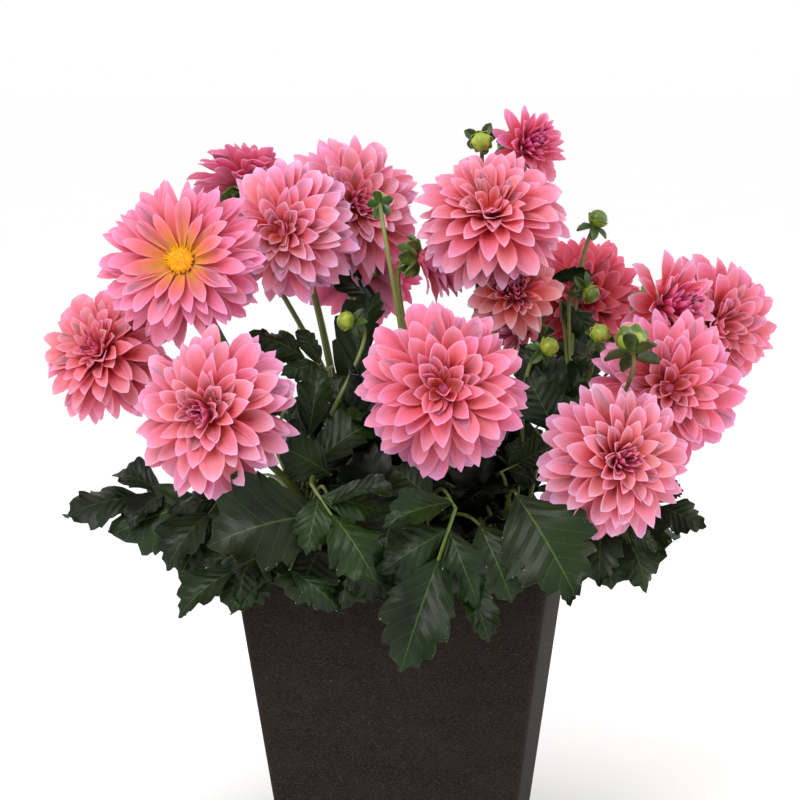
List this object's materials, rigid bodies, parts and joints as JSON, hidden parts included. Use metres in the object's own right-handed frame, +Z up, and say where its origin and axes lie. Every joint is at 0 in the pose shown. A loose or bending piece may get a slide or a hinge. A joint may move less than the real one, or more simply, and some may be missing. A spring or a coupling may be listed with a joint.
{
  "type": "potted dahlia",
  "caption": "Bushy dahlia with round double pink flowers, half-open flowers, green buds and toothed dark leaves, in a tall square tapered planter.",
  "frame": {"origin": "middle of the planter's flat underside", "axes": "+Z up; -Y is the front, the side towards which most of the flowers face; +X is to the right when seen from the front"},
  "size_m": [0.6679, 0.4775, 0.6847],
  "materials": {
    "planter": "matte, finely pitted",
    "soil": "matte, crumbly",
    "foliage": "satin",
    "petal": "soft matte",
    "petal_deep": "soft matte",
    "disc": "matte",
    "bud": "satin"
  },
  "bodies": {
    "root": {"planter": "planter", "soil": "soil", "leafy_stem_left_front": "foliage", "leafy_stem_left": "foliage", "leafy_stem_left_back": "foliage", "leafy_stem_middle_back": "foliage", "leafy_stem_front": "foliage", "leafy_stem_middle": "foliage", "leafy_stem_right_back": "foliage", "leafy_stem_right": "foliage", "leafy_stem_right_front": "foliage", "flower_top_left": "petal", "flower_upper_left": "petal", "flower_crown_left": "petal", "flower_upper_middle": "petal", "flower_back_middle": "petal", "flower_far_left": "petal", "flower_front_left": "petal", "flower_front_middle": "petal", "flower_front_right": "petal", "flower_middle_right": "petal", "flower_far_right": "petal", "flower_back_right": "petal_deep", "flower_crown_right": "petal", "flower_top_right": "petal_deep", "flower_side_middle": "petal_deep", "flower_under_crown": "petal_deep", "flower_behind_right": "petal", "flower_low_middle": "petal_deep", "disc_top_left": "disc", "bud_top": "bud", "bud_middle": "bud", "bud_left": "bud", "bud_tall_right": "bud", "bud_opening": "bud", "bud_right": "bud", "bud_low_right": "bud", "bud_hidden": "bud"}
  },
  "joints": []
}
